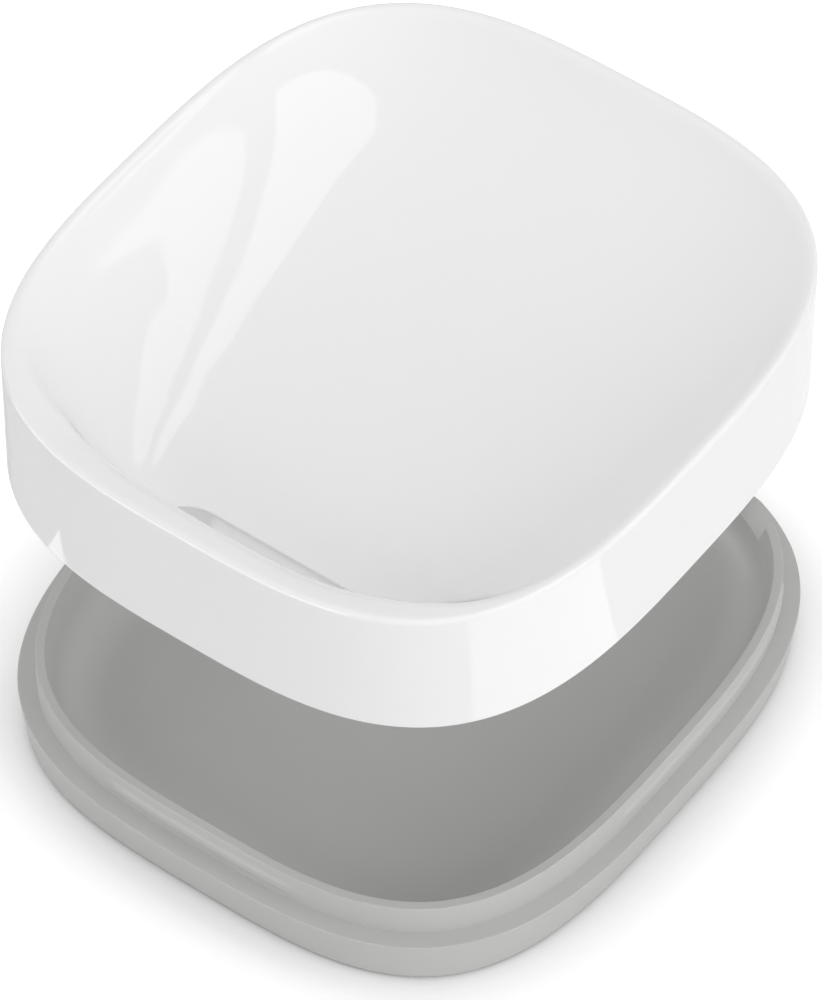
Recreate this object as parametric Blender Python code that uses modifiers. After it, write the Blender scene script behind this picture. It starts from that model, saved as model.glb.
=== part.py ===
"""Self-draining soap dish: a white dish that lifts off a grey drip tray on four feet.

Metres, +Z up. The drain slot is at the front, -Y, and the pouring gap at the rear, +Y.
Each round form is a turned profile that is then pressed into a rounded square.
"""
import math

import bmesh
import bpy
from mathutils import Vector

# Outline seen from above, shared by the dish and the tray. Deep inside it, from the core on,
# the rings of a form are shrunken copies of one another
dish_width = 0.110
dish_depth = 0.120
outline_power = 3.12
turn_steps = 80
core_share = 1 / 6

# Dish: skirt and rim
skirt_height = 0.0256
skirt_wall = 0.0023
rim_radius = 0.0008
rim_steps = 4
bowl_wall = 0.0022

# Dish: the bowl's lip, wide at the front, where it also bends down towards the slot
lip_width_front = 0.0055
lip_width_elsewhere = 0.0016
lip_extra_width = 0.0030
lip_roll_front = 0.0015
lip_roll_elsewhere = 0.0006
lip_focus_power = 3
lip_fall_front = 0.38
lip_fall_elsewhere = 0.12
lip_bend = 1.10
lip_bend_length = 0.0069

# Dish: slopes of the bowl's wall on each side, and how much steeper it is right at the slot
wall_slope_side = 0.96
wall_slope_rear = 1.18
wall_slope_front = 1.50
slot_extra_slope = 1.80
slot_focus_power = 8

# Dish: the bowl's floor, and how tightly the wall turns into it at the slot and at the rear
floor_height = 0.0038
floor_rise = 0.0065
turn_power_slot = 7.04
turn_power_rear = 1.00

# Dish: the bowl's inner level lines are rounder than the rim. They take over at the given reach
level_power = 2.38
level_reach = 0.0216
middle_round_share = 0.25
middle_even_share = 0.50

# Dish: insets of the bowl's rings, as shares of the way over the lip and of the rest
lip_shares = (0.2, 0.4, 0.6, 0.8, 1.0)
ring_shares = (0.04, 0.08, 0.13, 0.18, 0.23, 0.29, 0.36, 0.44, 0.53, 0.64, 0.76, 0.88, 1.0)

# Dish: drain slot
slot_length = 0.0436
slot_width = 0.0076
slot_inset = 0.0211
slot_centre_x = 0.0040
slot_bulge = 0.0012
slot_end_steps = 8
slot_bulge_steps = 8
drain_lip_wall = 0.0022

# Tray
tray_overhang = 0.0005
tray_wall_height = 0.0090
tray_base_power = 3.30
tray_flare = 0.0018
tray_edge_radius = 0.0004
ledge_fit = 0.0003
spigot_height = 0.0061
spigot_wall = 0.0016
basin_floor_thickness = 0.0022
basin_draft = 0.0010
basin_fillet = 0.0090
fillet_steps = 6

# Tray: snap ribs on the outside of the spigot
rib_proud = 0.0002
rib_height = 0.0020
rib_lift = 0.0017
rib_shoulder_share = 0.25
front_rib_half_length = 0.0182
side_rib_front_y = -0.0136
side_rib_rear_y = 0.0420

# Tray: gap in the spigot for pouring, and its lower lip
gap_width = 0.0750
gap_floor_drop = 0.0003
lip_top_width = 0.0620
lip_floor_width = 0.0520
lip_drop = 0.0015

# Feet
foot_radius = 0.0045
foot_recess_depth = 0.0009
foot_protrusion = 0.0007
foot_fit = 0.0002
foot_edge_radius = 0.0003
foot_edge_steps = 2
foot_inset_x = 0.0220
foot_inset_y = 0.0240
foot_segments = 32

# How far the dish is shown above its seat, and the play that stays under it when seated
shown_lift = 0.0554
seat_play = 0.0002

# Cutters run past what they cut by this much, and points closer than the weld are one
overrun = 0.0020
weld = 0.00001

# Slopes of the bowl are measured over this step
slope_step = 0.00025

# Levels and sizes worked out from the ones above
tray_bottom = foot_protrusion
ledge_level = tray_bottom + tray_wall_height
spigot_top = ledge_level + spigot_height
basin_floor = tray_bottom + basin_floor_thickness
dish_bottom = ledge_level + seat_play + shown_lift
ledge_width = tray_overhang + skirt_wall + ledge_fit
tray_width = dish_width + 2 * tray_overhang
tray_depth = dish_depth + 2 * tray_overhang
slot_chord_y = slot_inset - dish_depth / 2

white_plastic = ("white_gloss_plastic", (0.86, 0.86, 0.86, 1), 0.12)
grey_plastic = ("grey_satin_plastic", (0.38, 0.385, 0.38, 1), 0.42)
dark_rubber = ("dark_grey_rubber", (0.08, 0.08, 0.08, 1), 0.85)


def clear_scene():
    for obj in list(bpy.data.objects):
        bpy.data.objects.remove(obj, do_unlink=True)


def new_collection(name):
    collection = bpy.data.collections.new(name)
    bpy.context.scene.collection.children.link(collection)
    return collection


def make_material(name, colour, roughness):
    material = bpy.data.materials.new(name)
    material.use_nodes = True
    shader = material.node_tree.nodes["Principled BSDF"]
    shader.inputs["Base Color"].default_value = colour
    shader.inputs["Roughness"].default_value = roughness
    shader.inputs["Metallic"].default_value = 0.0
    material.diffuse_color = colour
    return material


def link_mesh(name, mesh, collection, material=None):
    obj = bpy.data.objects.new(name, mesh)
    collection.objects.link(obj)
    if material is not None:
        mesh.materials.append(material)
    return obj


def mesh_from_bmesh(name, bm):
    bmesh.ops.recalc_face_normals(bm, faces=bm.faces)
    mesh = bpy.data.meshes.new(name)
    bm.to_mesh(mesh)
    bm.free()
    return mesh


def shade(obj, sharp_degrees=35.0):
    obj.data.shade_smooth()
    obj.data.set_sharp_from_angle(angle=math.radians(sharp_degrees))


def smooth_ramp(distance, start, roll):
    """Zero before the start, rising one for one after it, rounded over the roll either side."""
    ahead = distance - start
    if ahead <= -roll:
        return 0.0
    if ahead >= roll:
        return ahead
    return (ahead + roll) ** 2 / (4 * roll)


def bend(distance, length):
    """Zero at the start, falling ever faster over the length, and one for one after it."""
    share = min(max(distance / length, 0.0), 1.0)
    return length * share ** 3 / 3 + max(distance - length, 0.0)


def outline_radius(angle, width, depth, power):
    across = abs(math.cos(angle)) / (width / 2)
    along = abs(math.sin(angle)) / (depth / 2)
    return (across ** power + along ** power) ** (-1 / power)


def outline_point(angle, width, depth, power):
    radius = outline_radius(angle, width, depth, power)
    return Vector((radius * math.cos(angle), radius * math.sin(angle)))


def outline_normal(point, width, depth, power):
    gradient_x = math.copysign(abs(2 * point.x / width) ** (power - 1), point.x) / width
    gradient_y = math.copysign(abs(2 * point.y / depth) ** (power - 1), point.y) / depth
    return Vector((gradient_x, gradient_y)).normalized()


def pressed_point(angle, inset, width, depth, power):
    """A point so far inside the outline, and past the core's inset on a shrunken copy of it."""
    edge = outline_point(angle, width, depth, power)
    normal = outline_normal(edge, width, depth, power)
    core_inset = width * core_share
    if inset <= core_inset:
        return edge - normal * inset
    core = edge - normal * core_inset
    return core * (width / 2 - inset) / (width / 2 - core_inset)


def press_square(obj, width, depth, power_at):
    """Press a turned form, whose radius is half the width, into the rounded square outline."""
    for vertex in obj.data.vertices:
        radius = math.hypot(vertex.co.x, vertex.co.y)
        angle = math.atan2(vertex.co.y, vertex.co.x)
        power = power_at(vertex.co.z)
        place = pressed_point(angle, width / 2 - radius, width, depth, power)
        vertex.co.x = place.x
        vertex.co.y = place.y


def turned(name, profile, collection, material=None):
    """A closed body turned about Z from a profile of (radius, height), top to bottom outside."""
    bm = bmesh.new()
    points = [bm.verts.new((radius, 0, height)) for radius, height in profile]
    for first, second in zip(points, points[1:]):
        bm.edges.new((first, second))
    mesh = bpy.data.meshes.new(name + "_profile")
    bm.to_mesh(mesh)
    bm.free()
    obj = link_mesh(name, mesh, collection)
    screw = obj.modifiers.new("Turn", "SCREW")
    screw.steps = turn_steps
    screw.render_steps = turn_steps
    screw.use_merge_vertices = True
    screw.merge_threshold = weld
    depsgraph = bpy.context.evaluated_depsgraph_get()
    body = bpy.data.meshes.new_from_object(obj.evaluated_get(depsgraph))
    body.name = name
    obj.modifiers.clear()
    obj.data = body
    bpy.data.meshes.remove(mesh)
    if material is not None:
        body.materials.clear()
        body.materials.append(material)
    return obj


def arc_points(centre, radius, start_degrees, end_degrees, count):
    """Points of an arc, in (inset, height), from the start to the end."""
    points = []
    for step in range(count + 1):
        angle = math.radians(start_degrees + (end_degrees - start_degrees) * step / count)
        points.append((centre[0] + radius * math.cos(angle), centre[1] + radius * math.sin(angle)))
    return points


def inset_profile(points, width):
    return [(width / 2 - inset, height) for inset, height in points]


def rearward(y):
    """How far a point lies behind the slot: 0 at its rear edge and 1 at the rear rim."""
    return (y - slot_chord_y) / (dish_depth / 2 - slot_chord_y)


def from_middle(x, y):
    """Distance from the bowl's middle along its rounder level lines: 1 at the outline's sides."""
    across = abs(2 * x / dish_width)
    along = abs(2 * y / dish_depth)
    return (across ** level_power + along ** level_power) ** (1 / level_power)


def wall_inset(inset, reach):
    """Inset by which the wall falls: the outline's at the rim, the rounder level lines' within."""
    softened = math.hypot(reach, middle_round_share) / math.hypot(1, middle_round_share)
    inner = dish_width / 2 * (1 - softened)
    outer_share = math.exp(-(max(inset, 0) / level_reach) ** 2)
    return inset * outer_share + inner * (1 - outer_share)


def bowl_drop(x, y):
    """How far the bowl's surface lies below the rim at a point."""
    angle = math.atan2(y, x)
    edge = outline_point(angle, dish_width, dish_depth, outline_power)
    normal = outline_normal(edge, dish_width, dish_depth, outline_power)
    inset = (edge.length - math.hypot(x, y)) * (edge.normalized() @ normal)
    reach = from_middle(x, y)
    faced = 1 - math.exp(-(reach / middle_even_share) ** 2)
    front = max(0.0, -normal.y) ** 2 * faced
    rear = max(0.0, normal.y) ** 2 * faced
    slope = wall_slope_side + (wall_slope_front - wall_slope_side) * front
    slope += (wall_slope_rear - wall_slope_side) * rear + slot_extra_slope * front ** slot_focus_power
    focus = front ** lip_focus_power
    lip = lip_width_elsewhere + (lip_width_front - lip_width_elsewhere) * front + lip_extra_width * focus
    roll = lip_roll_elsewhere + (lip_roll_front - lip_roll_elsewhere) * front
    lip_fall = lip_fall_elsewhere + (lip_fall_front - lip_fall_elsewhere) * focus
    wall = slope * smooth_ramp(wall_inset(inset, reach), lip, roll)
    wall += lip_fall * smooth_ramp(inset, 1.25 * rim_radius, rim_radius / 4)
    wall += lip_bend * focus * bend(inset - rim_radius, lip_bend_length)
    floor = skirt_height - floor_height - floor_rise * rearward(y)
    turn_power = turn_power_slot * (turn_power_rear / turn_power_slot) ** rearward(y)
    return wall / (1 + (wall / floor) ** turn_power) ** (1 / turn_power)


def bowl_slope(x, y):
    ahead, behind = bowl_drop(x + slope_step, y), bowl_drop(x - slope_step, y)
    above, below = bowl_drop(x, y + slope_step), bowl_drop(x, y - slope_step)
    return math.hypot(ahead - behind, above - below) / (2 * slope_step)


def bowl_rings(first_inset):
    """Insets of the rings of the bowl: close together in the lip and the front wall."""
    steep_end = lip_width_front + lip_extra_width + lip_roll_front
    insets = [first_inset + (steep_end - first_inset) * share for share in lip_shares]
    inner = dish_width / 2 - steep_end
    return insets + [steep_end + inner * share for share in ring_shares]


def lower_top(obj, thickness):
    """Lower the flat top of a pressed form to the bowl's surface, and below it by a thickness."""
    for vertex in obj.data.vertices:
        if vertex.co.z < skirt_height / 2:
            continue
        slope = bowl_slope(vertex.co.x, vertex.co.y)
        fall = bowl_drop(vertex.co.x, vertex.co.y)
        vertex.co.z -= fall + thickness * math.sqrt(1 + slope * slope)


def dish_blank(collection, material):
    rim = arc_points((rim_radius, skirt_height - rim_radius), rim_radius, 90, 180, rim_steps)
    top = [(inset, skirt_height) for inset in reversed(bowl_rings(rim_radius))]
    points = top + rim + [(0, 0), (dish_width / 2, 0)]
    blank = turned("soap_dish", inset_profile(points, dish_width), collection, material)
    press_square(blank, dish_width, dish_depth, lambda height: outline_power)
    lower_top(blank, 0)
    return blank


def slot_outline(margin):
    """Plan of the drain slot: straight towards the bowl, round at its ends, bulged to the front."""
    width = slot_width + 2 * margin
    rear = slot_chord_y + margin
    front = rear - width
    half = slot_length / 2 + margin
    round_radius = min(width, half)
    points = []
    for side, start, end in ((1, 0, 90), (-1, 90, 180)):
        centre = (slot_centre_x + side * (half - round_radius), rear - round_radius)
        points += arc_points(centre, round_radius, start, end, slot_end_steps)
    for step in range(1, slot_bulge_steps):
        share = step / slot_bulge_steps
        x = slot_centre_x + half * (2 * share - 1)
        points.append((x, front - slot_bulge * math.sin(math.pi * share)))
    return points


def prism(name, outline, bottom, top, collection):
    """A closed solid of a flat outline between two levels."""
    bm = bmesh.new()
    ring = [bm.verts.new((x, y, bottom)) for x, y in outline]
    face = bm.faces.new(ring)
    raised = bmesh.ops.extrude_face_region(bm, geom=[face])
    moved = [item for item in raised["geom"] if isinstance(item, bmesh.types.BMVert)]
    bmesh.ops.translate(bm, verts=moved, vec=(0, 0, top - bottom))
    return hide_cutter(link_mesh(name, mesh_from_bmesh(name, bm), collection))


def hide_cutter(obj):
    obj.hide_render = True
    obj.display_type = "WIRE"
    return obj


def cut(obj, cutter, name):
    boolean = obj.modifiers.new(name, "BOOLEAN")
    boolean.operation = "DIFFERENCE"
    boolean.solver = "EXACT"
    boolean.object = cutter


def make_dish(parts, cutters, material, axis):
    dish = dish_blank(parts, material)
    inner_insets = [inset for inset in bowl_rings(rim_radius) if inset > skirt_wall + rim_radius / 2]
    top = [(inset, skirt_height) for inset in reversed(inner_insets)]
    points = top + [(skirt_wall, skirt_height), (skirt_wall, -overrun), (dish_width / 2, -overrun)]
    hollow = turned("dish_hollow", inset_profile(points, dish_width), cutters)
    press_square(hollow, dish_width, dish_depth, lambda height: outline_power)
    lower_top(hollow, bowl_wall)
    hide_cutter(hollow)
    drain_block = prism("drain_block", slot_outline(drain_lip_wall), -2 * overrun, skirt_height, cutters)
    cut(hollow, drain_block, "Drain lip")
    slot = prism("drain_slot", slot_outline(0), -overrun, skirt_height + overrun, cutters)
    cut(dish, hollow, "Hollow")
    cut(dish, slot, "Drain slot")
    for obj in (dish, hollow, drain_block, slot):
        obj.parent = axis
    shade(dish)
    return dish


def tray_profile():
    """Section of the tray as (inset, height), from the basin's middle out, over and under."""
    basin_wall_inset = ledge_width + spigot_wall
    foot_of_wall = basin_wall_inset + basin_draft
    fillet_centre = (foot_of_wall + basin_fillet, basin_floor + basin_fillet)
    floor_to_wall = arc_points(fillet_centre, basin_fillet, 270, 180, fillet_steps)
    edge = tray_edge_radius
    rib_bottom = ledge_level + rib_lift
    spigot = [
        (basin_wall_inset, spigot_top - edge),
        (basin_wall_inset - edge, spigot_top),
        (ledge_width + edge, spigot_top),
        (ledge_width, spigot_top - edge),
        (ledge_width, rib_bottom + rib_height),
        (ledge_width, rib_bottom + rib_height * (1 - rib_shoulder_share)),
        (ledge_width, rib_bottom + rib_height * rib_shoulder_share),
        (ledge_width, rib_bottom),
        (ledge_width, ledge_level),
    ]
    outside = [
        (edge, ledge_level),
        (0, ledge_level - edge),
        (tray_flare, tray_bottom + edge),
        (tray_flare + edge, tray_bottom),
        (tray_width / 2, tray_bottom),
    ]
    middle = [(tray_width / 2, basin_floor), ((tray_width / 2 + fillet_centre[0]) / 2, basin_floor)]
    return middle + floor_to_wall + spigot + outside


def tray_power(height):
    share = (height - tray_bottom) / (ledge_level - tray_bottom)
    return tray_base_power + (outline_power - tray_base_power) * min(max(share, 0), 1)


def raise_ribs(tray):
    """Push the middle of the spigot's outer face out where the snap ribs are."""
    rib_bottom = ledge_level + rib_lift
    tolerance = rib_height * rib_shoulder_share / 2
    for vertex in tray.data.vertices:
        x, y, height = vertex.co
        in_band = rib_bottom + tolerance < height < rib_bottom + rib_height - tolerance
        at_front = y < 0 and abs(x) < front_rib_half_length
        at_side = side_rib_front_y < y < side_rib_rear_y
        if not in_band or not (at_front or at_side):
            continue
        angle = math.atan2(y, x)
        edge = outline_point(angle, tray_width, tray_depth, outline_power)
        normal = outline_normal(edge, tray_width, tray_depth, outline_power)
        if (edge.length - math.hypot(x, y)) > ledge_width + spigot_wall / 2:
            continue
        vertex.co.x += normal.x * rib_proud
        vertex.co.y += normal.y * rib_proud


def pouring_cutter(cutters):
    """Section across the gap in the spigot, with its lower lip, run out to the rear."""
    gap_floor = ledge_level - gap_floor_drop
    lip_floor = ledge_level - lip_drop
    section = [
        (gap_width / 2, spigot_top + overrun),
        (gap_width / 2, gap_floor),
        (lip_top_width / 2, gap_floor),
        (lip_floor_width / 2, lip_floor),
    ]
    section += [(-x, height) for x, height in reversed(section)]
    start = tray_depth / 2 - tray_width * core_share
    bm = bmesh.new()
    face = bm.faces.new([bm.verts.new((x, start, height)) for x, height in section])
    raised = bmesh.ops.extrude_face_region(bm, geom=[face])
    moved = [item for item in raised["geom"] if isinstance(item, bmesh.types.BMVert)]
    bmesh.ops.translate(bm, verts=moved, vec=(0, tray_depth / 2 + overrun - start, 0))
    return hide_cutter(link_mesh("pouring_gap", mesh_from_bmesh("pouring_gap", bm), cutters))


def disc(name, radius, bottom, top, centre, collection, material=None):
    bm = bmesh.new()
    bmesh.ops.create_cone(
        bm, cap_ends=True, segments=foot_segments, radius1=radius, radius2=radius, depth=top - bottom
    )
    obj = link_mesh(name, mesh_from_bmesh(name, bm), collection, material)
    obj.location = (centre[0], centre[1], (bottom + top) / 2)
    return obj


def foot_places():
    for depth_name, depth_side in (("front", -1), ("rear", 1)):
        for side_name, side in (("left", -1), ("right", 1)):
            x = side * (tray_width / 2 - foot_inset_x)
            y = depth_side * (tray_depth / 2 - foot_inset_y)
            yield depth_name + "_" + side_name, (x, y)


def make_tray(parts, cutters, material):
    tray = turned("drip_tray", inset_profile(tray_profile(), tray_width), parts, material)
    press_square(tray, tray_width, tray_depth, tray_power)
    raise_ribs(tray)
    cut(tray, pouring_cutter(cutters), "Pouring gap")
    for name, place in foot_places():
        recess_top = tray_bottom + foot_recess_depth
        recess = disc(
            "recess_" + name, foot_radius + foot_fit, tray_bottom - overrun, recess_top, place, cutters
        )
        cut(tray, hide_cutter(recess), "Recess " + name)
    shade(tray)
    return tray


def make_feet(parts, material):
    top = tray_bottom + foot_recess_depth - foot_fit
    for name, place in foot_places():
        foot = disc("foot_" + name, foot_radius, 0, top, place, parts, material)
        bevel = foot.modifiers.new("Edge", "BEVEL")
        bevel.width = foot_edge_radius
        bevel.segments = foot_edge_steps
        shade(foot)


def build():
    clear_scene()
    parts = new_collection("soap_dish_and_tray")
    cutters = new_collection("cutters")
    axis = bpy.data.objects.new("dish_lift_axis", None)
    axis.location = (0, 0, dish_bottom)
    parts.objects.link(axis)
    make_dish(parts, cutters, make_material(*white_plastic), axis)
    make_tray(parts, cutters, make_material(*grey_plastic))
    make_feet(parts, make_material(*dark_rubber))


build()
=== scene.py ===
"""Looks of the soap dish: fine meshes, finishes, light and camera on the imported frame.

Metres, +Z up. The dish's drain slot is at the front, -Y, and the tray's pouring gap at the rear.
"""

import math

import bmesh
import bpy
import numpy as np
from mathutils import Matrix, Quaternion, Vector
from mathutils.geometry import delaunay_2d_cdt


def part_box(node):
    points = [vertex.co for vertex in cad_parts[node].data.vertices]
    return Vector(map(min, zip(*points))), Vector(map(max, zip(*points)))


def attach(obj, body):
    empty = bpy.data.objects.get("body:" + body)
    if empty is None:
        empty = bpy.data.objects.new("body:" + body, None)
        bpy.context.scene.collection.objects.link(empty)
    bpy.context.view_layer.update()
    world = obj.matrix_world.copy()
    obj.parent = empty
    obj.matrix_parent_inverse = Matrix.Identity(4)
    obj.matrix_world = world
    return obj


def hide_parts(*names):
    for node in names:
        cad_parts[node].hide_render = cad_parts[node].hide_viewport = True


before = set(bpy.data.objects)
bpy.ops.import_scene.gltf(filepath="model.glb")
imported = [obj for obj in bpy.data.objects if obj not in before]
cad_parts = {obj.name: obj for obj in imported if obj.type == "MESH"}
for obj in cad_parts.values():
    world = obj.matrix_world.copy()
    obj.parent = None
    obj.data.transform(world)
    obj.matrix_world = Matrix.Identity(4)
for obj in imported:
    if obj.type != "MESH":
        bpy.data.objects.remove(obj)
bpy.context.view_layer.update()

# Sizes read from the frame
dish_low, dish_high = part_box("soap_dish")
tray_low, tray_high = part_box("drip_tray")
dish_width = dish_high.x - dish_low.x
dish_depth = dish_high.y - dish_low.y
skirt_height = dish_high.z - dish_low.z
tray_width = tray_high.x - tray_low.x
tray_depth = tray_high.y - tray_low.y

# Outline seen from above
outline_power = 3.12
turn_steps = 480

# Dish
skirt_wall = 0.0023
rim_radius = 0.0008
rim_steps = 8
skirt_foot_radius = 0.0003
skirt_foot_steps = 4
bowl_wall = 0.0022
lip_width_front = 0.0055
lip_width_elsewhere = 0.0016
lip_extra_width = 0.0030
lip_roll_front = 0.0015
lip_roll_elsewhere = 0.0006
lip_focus_power = 3
lip_fall_front = 0.38
lip_fall_elsewhere = 0.12
lip_bend = 1.10
lip_bend_length = 0.0069
wall_slope_side = 0.96
wall_slope_rear = 1.18
wall_slope_front = 1.50
slot_extra_slope = 1.80
slot_focus_power = 8
floor_height = 0.0038
floor_rise = 0.0065
turn_power_slot = 7.04
turn_power_rear = 1.00
level_power = 2.38
level_reach = 0.0216
middle_round_share = 0.25
middle_even_share = 0.50
slope_step = 0.00025
lip_fall_start = 1.25 * rim_radius
lip_fall_roll = rim_radius / 4
mesh_spacing = 0.00085
mesh_row_share = 0.866
mesh_ring_insets = (0.0013, 0.0017, 0.0022, 0.0028, 0.0034, *np.linspace(0.0040, 0.0092, 14))

# Close points that hold flat runs beside rounded edges
hold_gap = 0.0002
held_run = 0.0010

# Meshes in general
merge_distance = 1e-7
triangulation_tolerance = 1e-8
sharp_degrees = 40

# Drain slot
slot_length = 0.0436
slot_width = 0.0076
slot_inset = 0.0211
slot_centre_x = 0.0040
slot_bulge = 0.0012
slot_end_steps = 24
slot_chord_steps = 40
slot_bulge_steps = 60
slot_edge_radius = 0.0003
slot_edge_steps = 6
slot_ring_gaps = (0.0009, 0.0013, 0.0018)
drain_lip_wall = 0.0022

# Tray
tray_wall_height = 0.0090
tray_base_power = 3.30
tray_flare = 0.0018
tray_edge_radius = 0.00012
shoulder_steps = 6
base_edge_steps = 5
ledge_width = 0.0031
spigot_wall = 0.0016
spigot_edge_radius = 0.00012
spigot_edge_steps = 5
basin_floor_thickness = 0.0022
basin_draft = 0.0010
basin_fillet = 0.0090
basin_fillet_steps = 16
basin_ring_shares = (0.98, 0.75, 0.5)
rib_proud = 0.00025
rib_height = 0.0020
rib_lift = 0.0017
rib_level_shares = (1.1, 0.9, 0.7, 0.3, 0.1, -0.1)
front_rib_half_length = 0.0182
side_rib_front_y = -0.0136
side_rib_rear_y = 0.0420
rib_end_length = 0.0004
gap_width = 0.0750
gap_floor_drop = 0.0003
gap_end_shares = (-0.2, -0.02, 0, 0.02, 0.08, 0.18, 0.32, 0.5, 0.75, 1)
gap_search_steps = 4000
gap_least_facing = 0.1
pour_lip_top_width = 0.0620
pour_lip_floor_width = 0.0520
pour_lip_drop = 0.0015

# Feet
foot_names = ("foot_front_left", "foot_front_right", "foot_rear_left", "foot_rear_right")
foot_recess_depth = 0.0009
foot_fit = 0.0002
foot_edge_radius = 0.0003
foot_edge_steps = 5
foot_steps = 64

# Levels and places
dish_bottom = dish_low.z
tray_bottom = tray_low.z
spigot_top = tray_high.z
ledge_level = tray_bottom + tray_wall_height
basin_floor = tray_bottom + basin_floor_thickness
slot_chord_y = slot_inset - dish_depth / 2

# Camera, as found from the photograph's outlines
image_height = 1000
focal_pixels = 7529.4
camera_azimuth = 36.24
camera_elevation = 49.70
camera_distance = 1.2181
camera_roll = 0.07
camera_aim_height = 0.04255
camera_sensor_height = 24
camera_clip_start = 0.01
camera_clip_end = 20

# Large softboxes that face the object: name, azimuth, elevation and watts
softbox_distance = 1.8
softbox_size = 1.6
softboxes = (
    ("front", 0, 20, 11.6),
    ("right", 90, 20, 18.0),
    ("rear_right", 145, 12, 3.6),
    ("left", 270, 20, 7.4),
    ("rear", 180, 55, 3.2),
    ("top", 0, 88, 11.3),
)

# World and floor. To the camera the floor glows as well, more so far out, where the softboxes reach less,
# and less where the object stands close above it: a painted contact shadow
world_strength = 0.31
shown_world_strength = 1.0
floor_half_size = 4
floor_white = 0.80
floor_glow = 0.47
floor_far_glow = 1.0
floor_far_start = 0.4
floor_far_end = 1.2
# Reach and steepness of the painted contact shadow, where ambient occlusion dims the floor's glow
painted_shadow_reach = 0.022
painted_shadow_power = 2

# Bright sheets on the floor that the gloss of the skirt reflects: name, azimuths and strength
sheet_inner_radius = 0.080
sheet_outer_radius = 0.160
sheet_level = 0.002
sheet_steps = 12
floor_sheets = (
    ("sheet_front_right", 55.5, 101, 1.6),
    ("sheet_right", 101, 172, 1.0),
)

# A bright strip on the floor before the object that the slot's wall reflects
slot_sheet_sides = (-0.080, 0.010)
slot_sheet_rear = -0.0700
slot_sheet_front = -0.0827
slot_sheet_strength = 1.95

# Bright bands that stand low around the front and the right, which the gloss of the rim reflects: name,
# azimuths and strength. Their lower and upper edges are elevations
low_bands = (
    ("band_front", -70, 8, 7.5),
    ("band_right", 8, 150, 1.0),
)
band_low = 1
band_high = 16
band_steps = 16

# Two tall window panes behind the right that the gloss of the bowl's left wall reflects. Their corners are
# (right, up) on a plane that faces the object: name, corners and strength
pane_azimuth = 134
pane_elevation = 52
pane_distance = 1.6
first_pane = (
    (-0.46, -0.29), (-0.23, -0.01), (-0.10, 0.13), (0.02, 0.25), (0.12, 0.35), (0.26, 0.48), (0.40, 0.55),
    (0.52, 0.56), (0.60, 0.60), (0.70, 0.72), (0.71, 0.85), (0.56, 0.81), (0.50, 0.81), (0.38, 0.83),
    (0.27, 0.87), (0.15, 1.04), (-0.19, 0.98), (-0.37, 0.84), (-0.57, 0.55), (-0.66, 0.25), (-0.62, 0.01),
    (-0.55, -0.18),
)
second_pane = (
    (-0.30, -0.45), (-0.21, -0.24), (-0.12, -0.10), (-0.04, 0.01), (0.03, 0.12), (0.11, 0.20), (0.27, 0.33),
    (0.44, 0.38), (0.50, 0.05), (0.50, -0.33), (0.35, -0.29), (0.20, -0.36), (0.07, -0.38), (0.00, -0.26),
    (-0.12, -0.47), (-0.19, -0.67), (-0.16, -0.76), (-0.08, -0.83), (0.02, -0.89), (-0.07, -0.86),
    (-0.20, -0.80), (-0.23, -0.78), (-0.25, -0.75), (-0.30, -0.64),
)
window_panes = (
    ("first_pane", first_pane, 2.5),
    ("second_pane", second_pane, 2.2),
)

# Finishes. Colour and roughness vary between two values, and a bump has a strength and a height. Each
# follows a noise of its own scale and detail, and "even" is what is the same all over. The white is
# polished, with the faintest flow lines, and the grey has a fine spark-eroded grain
finishes = {
    "white_gloss": {
        "colours": ((0.810, 0.812, 0.810), (0.822, 0.823, 0.822)), "colour_noise": (28, 2),
        "roughness": (0.03, 0.05), "roughness_noise": (160, 3),
        "bump": (0.02, 0.0002), "bump_noise": (90, 1),
        "even": {"IOR": 1.5},
    },
    "grey_satin": {
        "colours": ((0.491, 0.491, 0.483), (0.515, 0.515, 0.507)), "colour_noise": (35, 3),
        "roughness": (0.40, 0.50), "roughness_noise": (900, 3),
        "bump": (0.10, 0.00003), "bump_noise": (4200, 2),
        "even": {"Specular IOR Level": 0.3},
    },
    "foot_rubber": {
        "colours": ((0.050, 0.050, 0.050), (0.075, 0.075, 0.074)), "colour_noise": (700, 3),
        "roughness": (0.78, 0.90), "roughness_noise": (700, 3),
        "bump": (0.25, 0.00004), "bump_noise": (2500, 3),
        "even": {},
    },
}


def ramp(distance, start, roll):
    """Zero before the start, rising one for one after it, rounded over the roll either side."""
    ahead = distance - start
    rounded = np.square(np.clip(ahead + roll, 0, None)) / (4 * roll)
    return np.where(ahead >= roll, ahead, rounded)


def bend(distance, length):
    """Zero at the start, falling ever faster over the length, and one for one after it."""
    share = np.clip(distance / length, 0, 1)
    return length * share ** 3 / 3 + np.clip(distance - length, 0, None)


def smooth(share):
    """From 0 to 1, flat at both ends."""
    return share * share * (3 - 2 * share)


def outline_points(angles, width, depth, power):
    """Points of the outline in the given directions."""
    across = np.abs(np.cos(angles)) / (width / 2)
    along = np.abs(np.sin(angles)) / (depth / 2)
    radius = (across ** power + along ** power) ** (-1 / power)
    return radius * np.cos(angles), radius * np.sin(angles)


def outline_normals(x, y, width, depth, power):
    """Unit normals of the outline at its points, outwards."""
    gradient_x = np.sign(x) * np.abs(2 * x / width) ** (power - 1) / width
    gradient_y = np.sign(y) * np.abs(2 * y / depth) ** (power - 1) / depth
    length = np.hypot(gradient_x, gradient_y)
    return gradient_x / length, gradient_y / length


def inset_loop(inset, width, depth, power, angles):
    """The outline moved inwards, and beyond a sixth of the width a shrunken copy of it."""
    x, y = outline_points(angles, width, depth, power)
    normal_x, normal_y = outline_normals(x, y, width, depth, power)
    edge_zone = np.minimum(inset, width / 6)
    shrink = (width / 2 - inset) / (width / 2 - edge_zone)
    return (x - normal_x * edge_zone) * shrink, (y - normal_y * edge_zone) * shrink


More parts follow.
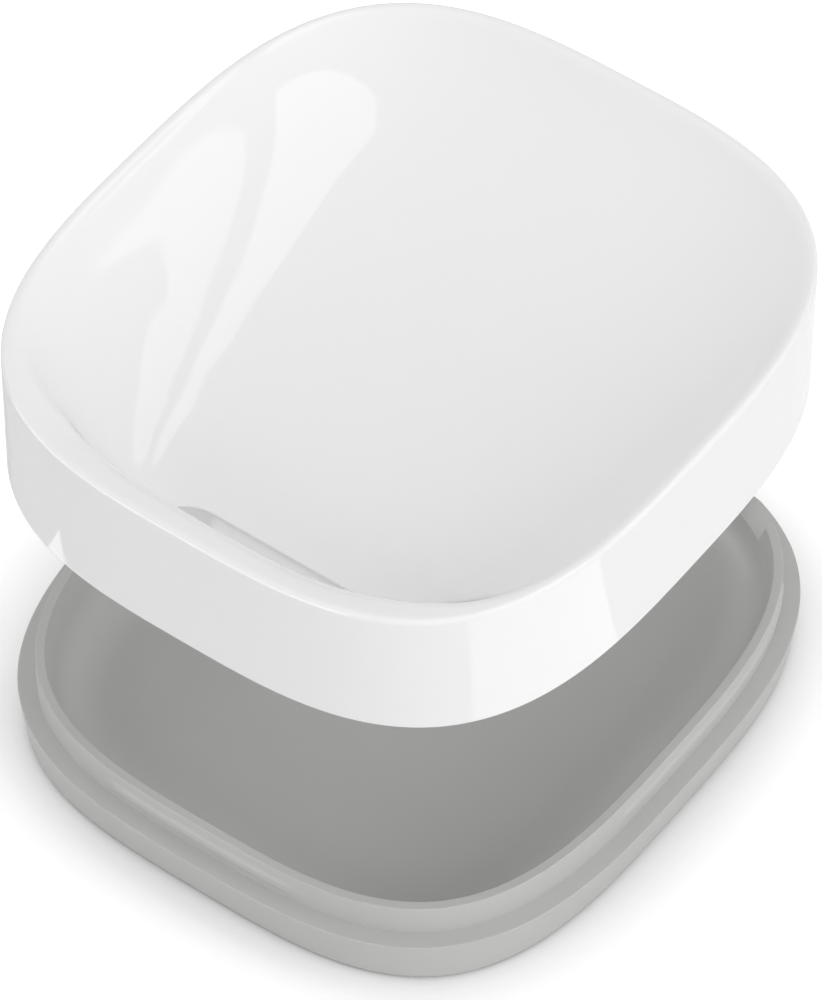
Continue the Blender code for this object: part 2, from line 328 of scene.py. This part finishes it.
def rearward(y):
    """How far a point lies behind the slot: 0 at its rear edge and 1 at the rear rim."""
    return (y - slot_chord_y) / (dish_depth / 2 - slot_chord_y)


def from_middle(x, y):
    """Distance from the bowl's middle along its rounder level lines: 1 at the outline's sides."""
    across = np.abs(2 * x / dish_width)
    along = np.abs(2 * y / dish_depth)
    return (across ** level_power + along ** level_power) ** (1 / level_power)


def wall_inset(inset, reach):
    """Inset by which the wall falls: the outline's at the rim, the rounder level lines' within."""
    softened = np.hypot(reach, middle_round_share) / np.hypot(1, middle_round_share)
    inner = dish_width / 2 * (1 - softened)
    outer_share = np.exp(-np.square(np.clip(inset, 0, None) / level_reach))
    return inset * outer_share + inner * (1 - outer_share)


def bowl_fall(x, y):
    """How far the bowl's surface lies below the rim."""
    angles = np.arctan2(y, x)
    edge_x, edge_y = outline_points(angles, dish_width, dish_depth, outline_power)
    normal_x, normal_y = outline_normals(edge_x, edge_y, dish_width, dish_depth, outline_power)
    facing = np.cos(angles) * normal_x + np.sin(angles) * normal_y
    inset = (np.hypot(edge_x, edge_y) - np.hypot(x, y)) * facing
    reach = from_middle(x, y)
    faced = 1 - np.exp(-np.square(reach / middle_even_share))
    front = np.clip(-normal_y, 0, None) ** 2 * faced
    rear = np.clip(normal_y, 0, None) ** 2 * faced
    slope = wall_slope_side + (wall_slope_front - wall_slope_side) * front
    slope += (wall_slope_rear - wall_slope_side) * rear + slot_extra_slope * front ** slot_focus_power
    focus = front ** lip_focus_power
    lip = lip_width_elsewhere + (lip_width_front - lip_width_elsewhere) * front + lip_extra_width * focus
    roll = lip_roll_elsewhere + (lip_roll_front - lip_roll_elsewhere) * front
    wall = slope * ramp(wall_inset(inset, reach), lip, roll)
    lip_fall = lip_fall_elsewhere + (lip_fall_front - lip_fall_elsewhere) * focus
    wall += lip_fall * ramp(inset, lip_fall_start, lip_fall_roll)
    wall += lip_bend * focus * bend(inset - rim_radius, lip_bend_length)
    floor = skirt_height - floor_height - floor_rise * rearward(y)
    turn_power = turn_power_slot * (turn_power_rear / turn_power_slot) ** rearward(y)
    return wall / (1 + (wall / floor) ** turn_power) ** (1 / turn_power)


def underside_fall(x, y):
    """How far the underside lies below the rim: a wall's thickness, square to the bowl, below the bowl."""
    step = slope_step
    slope_x = (bowl_fall(x + step, y) - bowl_fall(x - step, y)) / (2 * step)
    slope_y = (bowl_fall(x, y + step) - bowl_fall(x, y - step)) / (2 * step)
    return bowl_fall(x, y) + bowl_wall * np.sqrt(1 + slope_x ** 2 + slope_y ** 2)


def arc(centre, radius, start, end, steps):
    """Points on an arc between two angles in degrees."""
    angles = np.radians(np.linspace(start, end, steps + 1))
    return [(centre[0] + radius * math.cos(a), centre[1] + radius * math.sin(a)) for a in angles]


def slot_loop():
    """Plan of the drain slot: straight towards the bowl, round at its ends, bulged to the front."""
    half = slot_length / 2
    points = []
    for side, start, end in ((1, 0, 90), (-1, 90, 180)):
        centre = (slot_centre_x + side * (half - slot_width), slot_chord_y - slot_width)
        points += arc(centre, slot_width, start, end, slot_end_steps)
        if side > 0:
            chord_end = (slot_centre_x - half + slot_width, slot_chord_y)
            points += straight(points[-1], chord_end, slot_chord_steps)
    front = slot_chord_y - slot_width
    shares = np.linspace(0, 1, slot_bulge_steps + 1)[1:-1]
    bulge = [(slot_centre_x + half * (2 * s - 1), front - slot_bulge * math.sin(math.pi * s)) for s in shares]
    return np.array(points + bulge)


def straight(start, end, steps):
    """Points along a straight line, without its ends."""
    shares = np.linspace(0, 1, steps + 1)[1:-1]
    return [(start[0] + (end[0] - start[0]) * s, start[1] + (end[1] - start[1]) * s) for s in shares]


def held(section):
    """A section with close points at the ends of its long runs, so that smooth shading keeps them flat."""
    points = section[:1]
    for (inset, level), (next_inset, next_level) in zip(section, section[1:]):
        across, down = next_inset - inset, next_level - level
        length = math.hypot(across, down)
        if length > held_run:
            for share in (hold_gap / length, 1 - hold_gap / length):
                points.append((inset + across * share, level + down * share))
        points.append((next_inset, next_level))
    return points


def grown(loop, distance):
    """A loop moved outwards, square to itself."""
    along = np.roll(loop, -1, axis=0) - np.roll(loop, 1, axis=0)
    length = np.hypot(along[:, 0], along[:, 1])[:, None]
    outward = np.stack([along[:, 1], -along[:, 0]], axis=1) / length
    return loop + outward * distance


def distance_to(loop, points):
    """Distance from each point to the nearest point of a loop."""
    nearest = [np.hypot(*(loop - point).T).min() for point in points]
    return np.array(nearest)


def inside(loop, points):
    """Which points lie inside a closed loop."""
    following = np.roll(loop, -1, axis=0)
    result = np.zeros(len(points), bool)
    for (x1, y1), (x2, y2) in zip(loop, following):
        if y1 == y2:
            continue
        crosses = (points[:, 1] < y1) != (points[:, 1] < y2)
        at_x = x1 + (points[:, 1] - y1) * (x2 - x1) / (y2 - y1)
        result ^= crosses & (points[:, 0] < at_x)
    return result


def spaced_points(inset):
    """Points in staggered rows that fill the dish's outline up to an inset."""
    row_spacing = mesh_spacing * mesh_row_share
    rows = int(dish_depth / 2 / row_spacing) + 1
    columns = int(dish_width / 2 / mesh_spacing) + 1
    grid = []
    for row in range(-rows, rows + 1):
        offset = mesh_spacing / 2 * (row % 2)
        for column in range(-columns, columns + 1):
            grid.append((column * mesh_spacing + offset, row * row_spacing))
    grid = np.array(grid)
    angles = np.arctan2(grid[:, 1], grid[:, 0])
    x, y = inset_loop(inset, dish_width, dish_depth, outline_power, angles)
    return grid[np.hypot(grid[:, 0], grid[:, 1]) < np.hypot(x, y)]


def add_surface(bm, outer, holes, filling, height):
    """Triangles between an outer loop and holes, through filling points, at a height of (x, y)."""
    points = [outer] + holes + [filling]
    edges = []
    start = 0
    for loop in [outer] + holes:
        count = len(loop)
        edges += [(start + k, start + (k + 1) % count) for k in range(count)]
        start += count
    flat = [Vector(p) for p in np.concatenate(points)]
    placed, _, faces = delaunay_2d_cdt(flat, edges, [], 1, triangulation_tolerance)[:3]
    placed = np.array([tuple(p) for p in placed])
    level = height(placed[:, 0], placed[:, 1])
    verts = [bm.verts.new((x, y, z)) for (x, y), z in zip(placed, level)]
    middles = np.array([placed[list(face)].mean(axis=0) for face in faces])
    keep = np.ones(len(faces), bool)
    for hole in holes:
        keep &= ~inside(hole, middles)
    for face, kept in zip(faces, keep):
        if kept:
            bm.faces.new([verts[k] for k in face])


def add_band(bm, loops):
    """Quads between loops of as many 3-D points each."""
    rows = [[bm.verts.new(point) for point in loop] for loop in loops]
    for first, second in zip(rows, rows[1:]):
        for k in range(len(first)):
            after = (k + 1) % len(first)
            bm.faces.new((first[k], first[after], second[after], second[k]))


def raised(loop, level):
    """A flat loop at one level, or at a level for each point."""
    levels = np.broadcast_to(level, len(loop))
    return np.column_stack([loop, levels])


def finish_mesh(name, bm, material):
    """An object of the mesh, smooth but for its sharp edges."""
    bmesh.ops.remove_doubles(bm, verts=bm.verts, dist=merge_distance)
    bmesh.ops.recalc_face_normals(bm, faces=bm.faces)
    mesh = bpy.data.meshes.new(name)
    bm.to_mesh(mesh)
    bm.free()
    mesh.shade_smooth()
    mesh.set_sharp_from_angle(angle=math.radians(sharp_degrees))
    mesh.materials.append(material)
    obj = bpy.data.objects.new(name, mesh)
    bpy.context.scene.collection.objects.link(obj)
    return obj


def dish_loop(inset):
    """The dish's outline moved inwards, in even steps around."""
    angles = np.linspace(0, 2 * math.pi, turn_steps, endpoint=False)
    return np.column_stack(inset_loop(inset, dish_width, dish_depth, outline_power, angles))


def add_bowl(bm, slot):
    """The bowl's upper surface, with the slot's edge rounded over. Returns its height as a function."""
    rim_loop = dish_loop(rim_radius)
    edge_shares = 1 - np.cos(np.linspace(0, math.pi / 2, slot_edge_steps + 1))
    edge_gaps = list(slot_edge_radius * edge_shares[1:])
    rings = [dish_loop(inset) for inset in mesh_ring_insets]
    filling = spaced_points(mesh_ring_insets[-1] + mesh_spacing)
    filling = filling[~inside(slot, filling)]
    filling = filling[distance_to(slot, filling) > slot_ring_gaps[-1] + mesh_spacing / 2]
    around_slot = [grown(slot, gap) for gap in edge_gaps + list(slot_ring_gaps)]

    def height(x, y):
        gap = np.minimum(distance_to(slot, np.column_stack([x, y])), slot_edge_radius)
        rounding = np.sqrt(np.clip(slot_edge_radius ** 2 - (slot_edge_radius - gap) ** 2, 0, None))
        return skirt_height - bowl_fall(x, y) - (slot_edge_radius - rounding)

    add_surface(bm, rim_loop, [slot], np.concatenate(rings + around_slot + [filling]), height)
    return height


def build_dish(material):
    """The dish: bowl, rim, skirt, underside, and the chute under the slot."""
    bm = bmesh.new()
    slot = slot_loop()
    height = add_bowl(bm, slot)
    rim = arc((rim_radius, skirt_height - rim_radius), rim_radius, 90, 180, rim_steps)
    foot = skirt_foot_radius
    foot_outside = arc((foot, foot), foot, 180, 270, skirt_foot_steps)
    foot_inside = arc((skirt_wall - foot, foot), foot, 270, 360, skirt_foot_steps)
    section = held(rim + foot_outside + foot_inside)
    section.append((skirt_wall, foot + hold_gap))
    loops = [raised(dish_loop(inset), level) for inset, level in section]
    ceiling_loop = dish_loop(skirt_wall)
    loops.append(raised(ceiling_loop, skirt_height - underside_fall(*ceiling_loop.T)))
    add_band(bm, loops)
    block = grown(slot, drain_lip_wall)
    filling = spaced_points(skirt_wall + mesh_spacing)
    filling = filling[~inside(block, filling)]
    filling = filling[distance_to(block, filling) > mesh_spacing]
    add_surface(bm, ceiling_loop, [block], filling, lambda x, y: skirt_height - underside_fall(x, y))
    block_top = skirt_height - underside_fall(*block.T)
    slot_top = height(*slot.T)
    drain = [raised(block, block_top), raised(block, 0), raised(slot, 0)]
    drain += [raised(slot, slot_top - hold_gap), raised(slot, slot_top)]
    add_band(bm, drain)
    dish = finish_mesh("dish_shell", bm, material)
    dish.location.z = dish_bottom
    return dish


def tray_section():
    """Section of the tray as (inset, height) from the basin's middle out to its base."""
    basin_wall_inset = ledge_width + spigot_wall
    foot_of_wall = basin_wall_inset + basin_draft
    fillet_centre = (foot_of_wall + basin_fillet, basin_floor + basin_fillet)
    middle = [(tray_width / 2 * share, basin_floor) for share in basin_ring_shares]
    fillet = arc(fillet_centre, basin_fillet, 270, 180, basin_fillet_steps)
    edge = spigot_edge_radius
    inner_edge = arc((basin_wall_inset - edge, spigot_top - edge), edge, 0, 90, spigot_edge_steps)
    outer_edge = arc((ledge_width + edge, spigot_top - edge), edge, 90, 180, spigot_edge_steps)
    rib = [(ledge_width, ledge_level + rib_lift + rib_height * share) for share in rib_level_shares]
    ledge = [(ledge_width, ledge_level), (ledge_width / 2, ledge_level)]
    flare = 180 + math.degrees(math.atan2(tray_flare, tray_wall_height - 2 * tray_edge_radius))
    shoulder_centre = (tray_edge_radius, ledge_level - tray_edge_radius)
    shoulder = arc(shoulder_centre, tray_edge_radius, 90, flare, shoulder_steps)
    base_centre = (tray_flare + tray_edge_radius, tray_bottom + tray_edge_radius)
    base = arc(base_centre, tray_edge_radius, flare, 270, base_edge_steps)
    return held(middle + fillet + inner_edge + outer_edge + rib + ledge + shoulder + base)


def window(value, low, high, soft):
    """One between low and high, falling smoothly to zero over the soft length inside each end."""
    return smooth(np.clip(np.minimum(value - low, high - value) / soft, 0, 1))


def rib_share(x, y):
    """Where the snap ribs stand out around the spigot: 1 on a rib and 0 elsewhere."""
    front = window(x, -front_rib_half_length, front_rib_half_length, rib_end_length) * (y < 0)
    side = window(y, side_rib_front_y, side_rib_rear_y, rib_end_length)
    return np.maximum(front, side)


def gap_level(x):
    """Level of the pouring gap's floor across the tray, with the lower lip in its middle."""
    floor = ledge_level - gap_floor_drop
    into_lip = (pour_lip_top_width / 2 - np.abs(x)) / (pour_lip_top_width / 2 - pour_lip_floor_width / 2)
    return floor - (pour_lip_drop - gap_floor_drop) * smooth(np.clip(into_lip, 0, 1))


def tray_angles():
    """Directions around the tray: even steps, with close ones where the spigot's ends are round."""
    even = np.linspace(0, 2 * math.pi, turn_steps, endpoint=False)
    end = gap_end_angle()
    radius = spigot_wall / 2
    reach = math.hypot(gap_width / 2, tray_depth / 2)
    right = [end - radius * share / reach for share in gap_end_shares]
    left = [math.pi - angle for angle in right]
    return np.sort(np.concatenate([even, right, left]))


def gap_end_angle():
    """Direction of the pouring gap's right end."""
    angles = np.linspace(0, math.pi / 2, gap_search_steps + 1)
    x, _ = inset_loop(ledge_width + spigot_wall / 2, tray_width, tray_depth, outline_power, angles)
    return float(np.interp(-gap_width / 2, -x, angles))


def build_tray(material):
    """The tray: one section led around the outline, with the snap ribs and the pouring gap in it."""
    bm = bmesh.new()
    angles = tray_angles()
    middle_inset = ledge_width + spigot_wall / 2
    middle_x, middle_y = inset_loop(middle_inset, tray_width, tray_depth, outline_power, angles)
    end_x = gap_width / 2
    normal_y = outline_normals(middle_x, middle_y, tray_width, tray_depth, outline_power)[1]
    past_end = (np.abs(middle_x) - end_x) / np.clip(normal_y, gap_least_facing, None)
    past_end = np.where(middle_y > 0, past_end, tray_width)
    in_gap = past_end < 0
    radius = spigot_wall / 2
    into_end = np.clip(radius - past_end, 0, radius)
    half_wall = np.where(in_gap, 0, np.sqrt(np.clip(radius ** 2 - into_end ** 2, 0, None)))
    ribs = rib_share(middle_x, middle_y) * rib_proud
    rib_low = ledge_level + rib_lift
    loops = []
    for inset, level in tray_section():
        power = tray_base_power + (outline_power - tray_base_power) * np.clip(
            (level - tray_bottom) / tray_wall_height, 0, 1
        )
        insets = np.full(len(angles), inset)
        on_spigot = ledge_width - hold_gap / 2 < inset < ledge_width + spigot_wall + hold_gap / 2
        if on_spigot and level > ledge_level + hold_gap / 2:
            keep = (inset - middle_inset) / radius
            insets = np.where(past_end < radius, middle_inset + keep * half_wall, insets)
        if inset == ledge_width and rib_low < level < rib_low + rib_height:
            insets = insets - ribs
        x, y = inset_loop(insets, tray_width, tray_depth, power, angles)
        low = np.where(in_gap & (inset < ledge_width + spigot_wall + basin_draft), gap_level(x), spigot_top)
        loops.append(np.column_stack([x, y, np.minimum(level, low)]))
    add_band(bm, loops)
    add_base(bm, loops[-1][:, :2])
    bm.verts.ensure_lookup_table()
    # The first loop is the innermost ring of the basin's floor, which one face closes
    bm.faces.new([bm.verts[k] for k in range(len(angles))])
    return finish_mesh("tray_shell", bm, material)


def foot_places():
    """Each foot's name, centre, radius and top, from the frame."""
    for name in foot_names:
        low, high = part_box(name)
        yield name, (low + high) / 2, (high.x - low.x) / 2, high.z


def foot_circle():
    turn = np.linspace(0, 2 * math.pi, foot_steps, endpoint=False)
    return np.column_stack([np.cos(turn), np.sin(turn)])


def add_base(bm, base):
    """The tray's flat underside, with a recess for each foot."""
    holes = []
    top = tray_bottom + foot_recess_depth
    for _, centre, radius, _ in foot_places():
        hole = foot_circle() * (radius + foot_fit) + np.array(centre.xy)
        holes.append(hole)
        add_band(bm, [raised(hole, tray_bottom), raised(hole, top)])
        bm.faces.new([bm.verts.new(point) for point in raised(hole, top)])
    add_surface(bm, base, holes, np.zeros((0, 2)), lambda x, y: np.full(len(x), tray_bottom))


def build_foot(name, centre, radius, top, material):
    """A round pad that stands on the floor and fills a recess in the tray's base."""
    bm = bmesh.new()
    edge = foot_edge_radius
    section = arc((radius - edge, top - edge), edge, 90, 0, foot_edge_steps)
    section += arc((radius - edge, edge), edge, 0, -90, foot_edge_steps)
    loops = [raised(foot_circle() * reach + np.array(centre.xy), level) for reach, level in section]
    add_band(bm, loops)
    for loop in (loops[0], loops[-1]):
        bm.faces.new([bm.verts.new(point) for point in loop])
    return finish_mesh(name + "_pad", bm, material)


def new_material(name):
    """A new material, its nodes and its links."""
    material = bpy.data.materials.new(name)
    material.use_nodes = True
    return material, material.node_tree.nodes, material.node_tree.links


def noise(nodes, links, scale, detail):
    """Noise in the object's own coordinates."""
    coordinates = nodes.new("ShaderNodeTexCoord")
    texture = nodes.new("ShaderNodeTexNoise")
    texture.inputs["Scale"].default_value = scale
    texture.inputs["Detail"].default_value = detail
    links.new(coordinates.outputs["Object"], texture.inputs["Vector"])
    return texture.outputs["Fac"]


def between(nodes, links, factor, low, high):
    """A number that varies between two values."""
    span = nodes.new("ShaderNodeMapRange")
    span.inputs["To Min"].default_value = low
    span.inputs["To Max"].default_value = high
    links.new(factor, span.inputs["Value"])
    return span.outputs["Result"]


def tinted(nodes, links, factor, low, high):
    """A colour that varies between two colours."""
    mix = nodes.new("ShaderNodeMix")
    mix.data_type = "RGBA"
    mix.inputs["A"].default_value = (*low, 1)
    mix.inputs["B"].default_value = (*high, 1)
    links.new(factor, mix.inputs["Factor"])
    return mix.outputs["Result"]


def bumped(nodes, links, factor, strength, height):
    bump = nodes.new("ShaderNodeBump")
    bump.inputs["Strength"].default_value = strength
    bump.inputs["Distance"].default_value = height
    links.new(factor, bump.inputs["Height"])
    return bump.outputs["Normal"]


def finished(name):
    """The material of a finish."""
    finish = finishes[name]
    material, nodes, links = new_material(name)
    shader = nodes["Principled BSDF"]
    flow = noise(nodes, links, *finish["colour_noise"])
    links.new(tinted(nodes, links, flow, *finish["colours"]), shader.inputs["Base Color"])
    wear = noise(nodes, links, *finish["roughness_noise"])
    links.new(between(nodes, links, wear, *finish["roughness"]), shader.inputs["Roughness"])
    grain = noise(nodes, links, *finish["bump_noise"])
    links.new(bumped(nodes, links, grain, *finish["bump"]), shader.inputs["Normal"])
    for socket, value in finish["even"].items():
        shader.inputs[socket].default_value = value
    return material


def place(piece, body, slot_name, *nodes):
    """Let a piece ride on a body, in the place of CAD nodes."""
    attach(piece, body)
    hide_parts(*nodes)


def build_pieces():
    white = finished("white_gloss")
    grey = finished("grey_satin")
    rubber = finished("foot_rubber")
    place(build_dish(white), "dish", "white_gloss_plastic", "soap_dish")
    place(build_tray(grey), "tray", "grey_satin_plastic", "drip_tray")
    for name, centre, radius, top in foot_places():
        place(build_foot(name, centre, radius, top, rubber), "tray", "dark_grey_rubber", name)


def direction(azimuth, elevation):
    """Unit vector towards a place seen from the object. Azimuth 0 is -Y, and 90 is +X."""
    flat = math.cos(math.radians(elevation))
    turn = math.radians(azimuth)
    return Vector((math.sin(turn) * flat, -math.cos(turn) * flat, math.sin(math.radians(elevation))))


def add_camera():
    data = bpy.data.cameras.new("camera")
    data.sensor_fit = "VERTICAL"
    data.sensor_height = camera_sensor_height
    data.lens = focal_pixels / image_height * data.sensor_height
    data.clip_start = camera_clip_start
    data.clip_end = camera_clip_end
    camera = bpy.data.objects.new("camera", data)
    bpy.context.scene.collection.objects.link(camera)
    towards = direction(camera_azimuth, camera_elevation)
    camera.location = Vector((0, 0, camera_aim_height)) + towards * camera_distance
    camera.rotation_mode = "QUATERNION"
    aimed = towards.to_track_quat("Z", "Y")
    camera.rotation_quaternion = aimed @ Quaternion((0, 0, 1), math.radians(camera_roll))
    bpy.context.scene.camera = camera


def add_softbox(name, azimuth, elevation, watts):
    """A square lamp that faces the object and that gloss doesn't mirror."""
    data = bpy.data.lights.new(name, "AREA")
    data.shape = "RECTANGLE"
    data.size = softbox_size
    data.size_y = softbox_size
    data.energy = watts
    lamp = bpy.data.objects.new(name, data)
    bpy.context.scene.collection.objects.link(lamp)
    towards = direction(azimuth, elevation)
    lamp.location = towards * softbox_distance
    lamp.rotation_mode = "QUATERNION"
    lamp.rotation_quaternion = towards.to_track_quat("Z", "Y")
    lamp.visible_glossy = False


def facing_plane(corners):
    """Places on the panes' plane, which faces the object, from their (right, up) on it."""
    towards = direction(pane_azimuth, pane_elevation)
    turn = math.radians(pane_azimuth)
    right = Vector((math.cos(turn), math.sin(turn), 0))
    up = towards.cross(right)
    return [towards * pane_distance + right * x + up * y for x, y in corners]


def ring_part(start, end):
    """Part of a ring that lies on the floor around the tray, between two azimuths."""
    azimuths = np.linspace(start, end, sheet_steps + 1)
    outer = [direction(azimuth, 0) * sheet_outer_radius for azimuth in azimuths]
    inner = [direction(azimuth, 0) * sheet_inner_radius for azimuth in reversed(azimuths)]
    return [point + Vector((0, 0, sheet_level)) for point in outer + inner]


def slot_sheet():
    """A strip on the floor before the object, where the mirror image in the slot's wall comes from."""
    left, right = slot_sheet_sides
    rear, front = slot_sheet_rear, slot_sheet_front
    corners = ((left, front), (right, front), (right, rear), (left, rear))
    return [Vector((x, y, sheet_level)) for x, y in corners]


def low_band(start, end):
    """Quads of a band that stands around the object just above the floor, between two azimuths."""
    azimuths = np.linspace(start, end, band_steps + 1)
    upper = [direction(azimuth, band_high) * softbox_distance for azimuth in azimuths]
    lower = [direction(azimuth, band_low) * softbox_distance for azimuth in azimuths]
    return [(lower[k], lower[k + 1], upper[k + 1], upper[k]) for k in range(band_steps)]


def add_card(name, faces, strength):
    """A bright card that only gloss reflects."""
    bm = bmesh.new()
    for corners in faces:
        bm.faces.new([bm.verts.new(corner) for corner in corners])
    bmesh.ops.triangulate(bm, faces=bm.faces)
    mesh = bpy.data.meshes.new(name)
    bm.to_mesh(mesh)
    bm.free()
    card = bpy.data.objects.new(name, mesh)
    bpy.context.scene.collection.objects.link(card)
    material, nodes, links = new_material(name + "_glow")
    nodes.remove(nodes["Principled BSDF"])
    glow = nodes.new("ShaderNodeEmission")
    glow.inputs["Strength"].default_value = strength
    links.new(glow.outputs["Emission"], nodes["Material Output"].inputs["Surface"])
    mesh.materials.append(material)
    card.visible_camera = False
    card.visible_diffuse = False
    card.visible_shadow = False
    card.visible_transmission = False


def far_glow(nodes, links):
    """The floor's glow to the camera, which grows with the distance from the object."""
    coordinates = nodes.new("ShaderNodeTexCoord")
    away = nodes.new("ShaderNodeVectorMath")
    away.operation = "LENGTH"
    links.new(coordinates.outputs["Object"], away.inputs[0])
    growth = nodes.new("ShaderNodeMapRange")
    growth.inputs["From Min"].default_value = floor_far_start
    growth.inputs["From Max"].default_value = floor_far_end
    growth.inputs["To Min"].default_value = floor_glow
    growth.inputs["To Max"].default_value = floor_far_glow
    links.new(away.outputs["Value"], growth.inputs["Value"])
    return growth.outputs["Result"]


def add_floor():
    """A white floor that keeps the shadow, and shows as pure white to the camera elsewhere. Near the object
    ambient occlusion dims its glow, which paints a contact shadow.
    """
    bm = bmesh.new()
    bmesh.ops.create_grid(bm, x_segments=1, y_segments=1, size=floor_half_size)
    mesh = bpy.data.meshes.new("floor")
    bm.to_mesh(mesh)
    bm.free()
    floor = bpy.data.objects.new("floor", mesh)
    bpy.context.scene.collection.objects.link(floor)
    material, nodes, links = new_material("floor_white")
    shader = nodes["Principled BSDF"]
    shader.inputs["Base Color"].default_value = (floor_white, floor_white, floor_white, 1)
    shader.inputs["Roughness"].default_value = 1.0
    shader.inputs["Specular IOR Level"].default_value = 0.0
    path = nodes.new("ShaderNodeLightPath")
    lift = nodes.new("ShaderNodeMath")
    lift.operation = "MULTIPLY"
    links.new(path.outputs["Is Camera Ray"], lift.inputs[0])
    links.new(far_glow(nodes, links), lift.inputs[1])
    # Ambient occlusion dims the floor's glow to the camera near the object: a painted contact shadow
    painted_shadow_occlusion = nodes.new("ShaderNodeAmbientOcclusion")
    painted_shadow_occlusion.inputs["Distance"].default_value = painted_shadow_reach
    painted_shadow_steepened = nodes.new("ShaderNodeMath")
    painted_shadow_steepened.operation = "POWER"
    painted_shadow_steepened.inputs[1].default_value = painted_shadow_power
    links.new(painted_shadow_occlusion.outputs["AO"], painted_shadow_steepened.inputs[0])
    glow = nodes.new("ShaderNodeMath")
    glow.operation = "MULTIPLY"
    links.new(lift.outputs[0], glow.inputs[0])
    links.new(painted_shadow_steepened.outputs[0], glow.inputs[1])
    shader.inputs["Emission Color"].default_value = (1, 1, 1, 1)
    links.new(glow.outputs[0], shader.inputs["Emission Strength"])
    mesh.materials.append(material)


def set_world():
    """Even light all round, and pure white to the camera and in gloss."""
    world = bpy.data.worlds.new("studio")
    bpy.context.scene.world = world
    world.use_nodes = True
    nodes = world.node_tree.nodes
    links = world.node_tree.links
    background = nodes["Background"]
    background.inputs["Color"].default_value = (1, 1, 1, 1)
    path = nodes.new("ShaderNodeLightPath")
    strength = nodes.new("ShaderNodeMix")
    strength.data_type = "FLOAT"
    strength.inputs["A"].default_value = world_strength
    strength.inputs["B"].default_value = shown_world_strength
    shown = nodes.new("ShaderNodeMath")
    shown.operation = "MAXIMUM"
    links.new(path.outputs["Is Camera Ray"], shown.inputs[0])
    links.new(path.outputs["Is Glossy Ray"], shown.inputs[1])
    links.new(shown.outputs[0], strength.inputs["Factor"])
    links.new(strength.outputs["Result"], background.inputs["Strength"])


def light_studio():
    set_world()
    for name, azimuth, elevation, watts in softboxes:
        add_softbox(name, azimuth, elevation, watts)
    for name, corners, strength in window_panes:
        add_card(name, [facing_plane(corners)], strength)
    for name, start, end, strength in floor_sheets:
        add_card(name, [ring_part(start, end)], strength)
    for name, start, end, strength in low_bands:
        add_card(name, low_band(start, end), strength)
    add_card("slot_sheet", [slot_sheet()], slot_sheet_strength)


build_pieces()
add_floor()
light_studio()
add_camera()
bpy.context.scene.view_settings.view_transform = "Standard"
